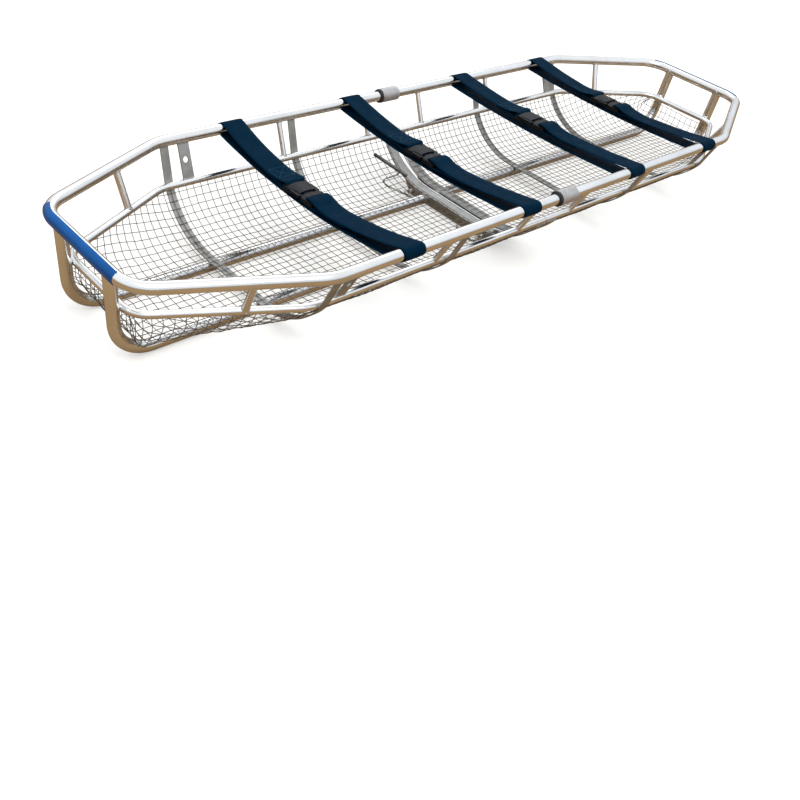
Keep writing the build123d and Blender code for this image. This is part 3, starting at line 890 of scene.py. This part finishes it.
def rod_seam(start, along, radius, rail_along, rail_radius):
    """Where a rod that starts on a rail's centre line comes out of the rail."""
    start, along, rail_along = np.asarray(start, float), unit(along), unit(rail_along)
    side = unit(np.cross(along, rail_along))
    other = np.cross(along, side)
    leave = along - np.dot(along, rail_along) * rail_along
    ring = []
    for a in np.linspace(0, 2 * math.pi, 25):
        edge = radius * (math.cos(a) * side + math.sin(a) * other)
        offset = edge - np.dot(edge, rail_along) * rail_along
        half_b = np.dot(offset, leave)
        rest = np.dot(offset, offset) - rail_radius**2
        size = np.dot(leave, leave)
        t = (-half_b + math.sqrt(max(half_b**2 - size * rest, 0))) / size
        ring.append(start + edge + t * along)
    return ring


def along_x(x, half_length, y, z):
    return [(x - half_length, y, z), (x + half_length, y, z)]


def plate_seams(x, half_length, side, start, end, thickness, rail, rail_radius):
    """Lines along X where both faces of a plate from start towards end meet a rail, in (y, z)."""
    start, end, rail = (np.asarray(p, float) for p in (start, end, rail))
    along = unit(end - start)
    across = np.array((along[1], -along[0]))
    lines = []
    for face in (-1, 1):
        offset = start + across * face * thickness / 2 - rail
        half_b = np.dot(offset, along)
        t = -half_b + math.sqrt(max(half_b**2 - np.dot(offset, offset) + rail_radius**2, 0))
        y, z = rail + offset + t * along
        lines.append(along_x(x, half_length, side * y, z))
    return lines


def strut_welds(sign, side):
    paths = []
    rails = (np.array((1.0, 0, 0)), np.array((1.0, 0, 0)))
    posts = [((x, RAIL_Y), (x, LOW_Y), STRUT_R, *rails) for x in STRUT_X]
    top_turn = np.array((RAIL_X - BEND_X, side * sign * (END_Y - RAIL_Y), 0))
    low_turn = np.array((LOW_X - LOW_BEND_X, side * sign * (LOW_END_Y - LOW_Y), 0))
    posts.append((*CORNER_STRUT, CORNER_STRUT_R, top_turn, low_turn))
    for top, low, radius, top_rail, low_rail in posts:
        top = np.array((sign * top[0], side * top[1], RAIL_Z))
        low = np.array((sign * low[0], side * low[1], LOW_Z))
        paths.append(bead(rod_seam(top, low - top, radius, top_rail, RAIL_R)))
        paths.append(bead(rod_seam(low, top - low, radius, low_rail, LOW_R)))
    return paths


def rib_welds(sign, side):
    paths = []
    rail = np.array((LOW_Y, LOW_Z))
    out = unit(np.array(RIB_LOW) - rail)
    touch = rail + out * LOW_R
    beside = np.array((-out[1], out[0])) * 3
    for x in RIB_X:
        x *= sign
        half = RIB_W / 2
        lines = plate_seams(
            x, half, side, RIB_TOP, RIB_LOW, RIB_T, (RAIL_Y, RAIL_Z), RAIL_R
        )
        lines += [along_x(x, half, side * y, z) for y, z in (touch + beside, touch - beside)]
        lines += [along_x(x, half, side * (RUNNER_Y + dy), 24.2) for dy in (-3.6, 3.6)]
        paths += [bead(line, 1.3) for line in lines]
    return paths


def frame_welds(half, sign, side):
    """Round each runner at both webs of a mid frame, and where its flange meets the rail."""
    paths = []
    edges = FRAME_EDGE[half]
    for x in edges:
        arc = [
            (
                sign * x,
                side * RUNNER_Y + (TUBE_R + 0.5) * math.cos(a),
                TUBE_R + (TUBE_R + 0.5) * math.sin(a),
            )
            for a in np.radians(np.linspace(-40, 220, 40))
        ]
        paths.append(bead(arc, 1.4))
    middle = sign * (edges[0] + edges[1]) / 2
    rail = np.array((LOW_Y, LOW_Z))
    touch = rail + unit(np.array(RIB_LOW) - rail) * LOW_R
    half_width = (edges[1] - edges[0]) / 2
    paths.append(bead(along_x(middle, half_width, side * touch[0], touch[1] - 3), 1.4))
    return paths


def eye_welds(half, sign, side):
    x = sign * EYE_X[half]
    top, low = (RAIL_Y, RAIL_Z), (LOW_Y, LOW_Z)
    lines = plate_seams(x, EYE_W / 2, side, top, low, EYE_T, top, RAIL_R)
    lines += plate_seams(x, EYE_W / 2, side, low, top, EYE_T, low, LOW_R)
    return [bead(line, 1.5) for line in lines]


def upright_welds(sign, side):
    """The seams of a leaning upright: at the end rail it runs into and the one it bears on."""
    top = np.array((sign * RAIL_X, side * RUNNER_Y, UPRIGHT_TOP_Z))
    low = np.array((sign * UPRIGHT_TURN_X, side * RUNNER_Y, TUBE_R))
    rail = (sign * RAIL_X, side * RUNNER_Y, RAIL_Z)
    ring = rod_seam(rail, low - top, TUBE_R, (0, 1, 0), RAIL_R)
    touch = top + (low - top) * (UPRIGHT_TOP_Z - LOW_Z) / (UPRIGHT_TOP_Z - TUBE_R)
    seams = [
        [(touch[0] - sign * TUBE_R, side * RUNNER_Y + dy, LOW_Z + dz) for dy in (-5, 0, 5)]
        for dz in (-3.5, 3.5)
    ]
    return [bead(ring, 1.7), *(bead(seam, 1.4) for seam in seams)]


def flange_lip(half, sign):
    """The rolled inner edge of a mid frame, from lower rail to lower rail."""
    x = sign * (FRAME_EDGE[half][0] + 1.3)
    radius = FLANGE_R - 2.9
    top = math.acos((ARC_Z - 117) / radius)
    quarter = [
        (x, ARC_Y + radius * math.sin(a), ARC_Z - radius * math.cos(a))
        for a in np.linspace(top, 0, 40)
    ]
    path = quarter + [(x, -y, z) for x, y, z in reversed(quarter)]
    obj = tubes(f"{half}_mid_frame_lip", [path], "tube_steel", radius=1.7, sides=10)
    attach(obj, f"{half}_half")


for half, sign in HALVES.items():
    beads = []
    for side in SIDES.values():
        beads += strut_welds(sign, side)
        beads += rib_welds(sign, side)
        beads += frame_welds(half, sign, side)
        beads += eye_welds(half, sign, side)
        beads += upright_welds(sign, side)
    welds = tubes(f"{half}_welds", beads, "weld_metal", sides=8)
    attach(welds, f"{half}_half")
    flange_lip(half, sign)


# ---- floor, light and camera ---------------------------------------------------------------
def floor():
    data = bpy.data.meshes.new("floor")
    size = 40.0
    data.from_pydata(
        [(-size, -size, 0), (size, -size, 0), (size, size, 0), (-size, size, 0)], [], [(0, 1, 2, 3)]
    )
    obj = bpy.data.objects.new("floor", data)
    bpy.context.scene.collection.objects.link(obj)
    f = Finish("floor", (0.62, 0.61, 0.59), 0.0, 0.9)
    f.set(Emission_Color=(1.0, 0.985, 0.955, 1), Emission_Strength=0.42)
    warm = f.node("ShaderNodeBsdfDiffuse")
    warm.inputs["Color"].default_value = (0.3, 0.195, 0.1, 1)
    path = f.node("ShaderNodeLightPath")
    mix = f.node("ShaderNodeMixShader")
    out = f.tree.nodes["Material Output"]
    f.link(path.outputs["Is Camera Ray"], mix.inputs["Fac"])
    f.link(warm.outputs["BSDF"], mix.inputs[1])
    f.link(f.shader.outputs["BSDF"], mix.inputs[2])
    f.link(mix.outputs["Shader"], out.inputs["Surface"])
    data.materials.append(f.mat)


def world():
    """Bright overcast above, paler towards the horizon, for soft light and long highlights."""
    made = bpy.data.worlds.new("studio")
    made.use_nodes = True
    tree = made.node_tree
    background = tree.nodes["Background"]
    coordinates = tree.nodes.new("ShaderNodeTexCoord")
    split = tree.nodes.new("ShaderNodeSeparateXYZ")
    ramp = tree.nodes.new("ShaderNodeValToRGB")
    stops = (
        (0.0, (0.3, 0.22, 0.14)),
        (0.05, (0.42, 0.38, 0.34)),
        (0.25, (0.8, 0.84, 0.9)),
        (0.6, (0.9, 0.95, 1.0)),
        (1.0, (1.0, 1.0, 1.0)),
    )
    elements = ramp.color_ramp.elements
    while len(elements) < len(stops):
        elements.new(0.5)
    for element, (place, color) in zip(elements, stops):
        element.position = place
        element.color = (*color, 1)
    tree.links.new(coordinates.outputs["Generated"], split.inputs["Vector"])
    tree.links.new(split.outputs["Z"], ramp.inputs["Fac"])
    tree.links.new(ramp.outputs["Color"], background.inputs["Color"])
    background.inputs["Strength"].default_value = 1.15
    bpy.context.scene.world = made


def area_light(name, place, target, size, power, color=(1, 1, 1)):
    data = bpy.data.lights.new(name, "AREA")
    data.shape = "RECTANGLE"
    data.size, data.size_y = size
    data.energy = power
    data.color = color
    obj = bpy.data.objects.new(name, data)
    bpy.context.scene.collection.objects.link(obj)
    obj.location = place
    obj.rotation_euler = (Vector(target) - Vector(place)).to_track_quat("-Z", "Y").to_euler()


def camera():
    data = bpy.data.cameras.new("camera")
    data.lens = CAMERA_LENS
    data.sensor_width = 36
    data.shift_x, data.shift_y = CAMERA_SHIFT
    obj = bpy.data.objects.new("camera", data)
    bpy.context.scene.collection.objects.link(obj)
    obj.location = CAMERA_AT
    obj.rotation_euler = [math.radians(a) for a in CAMERA_TURN]
    bpy.context.scene.camera = obj


floor()
world()
area_light("key", (-1.2, -1.6, 3.2), (0, 0, 0.1), (2.5, 1.6), 60)
area_light("fill", (1.8, 2.2, 2.6), (0, 0, 0.1), (2.5, 2.0), 25, (0.95, 0.98, 1.0))
camera()
bpy.context.scene.view_settings.view_transform = "Standard"
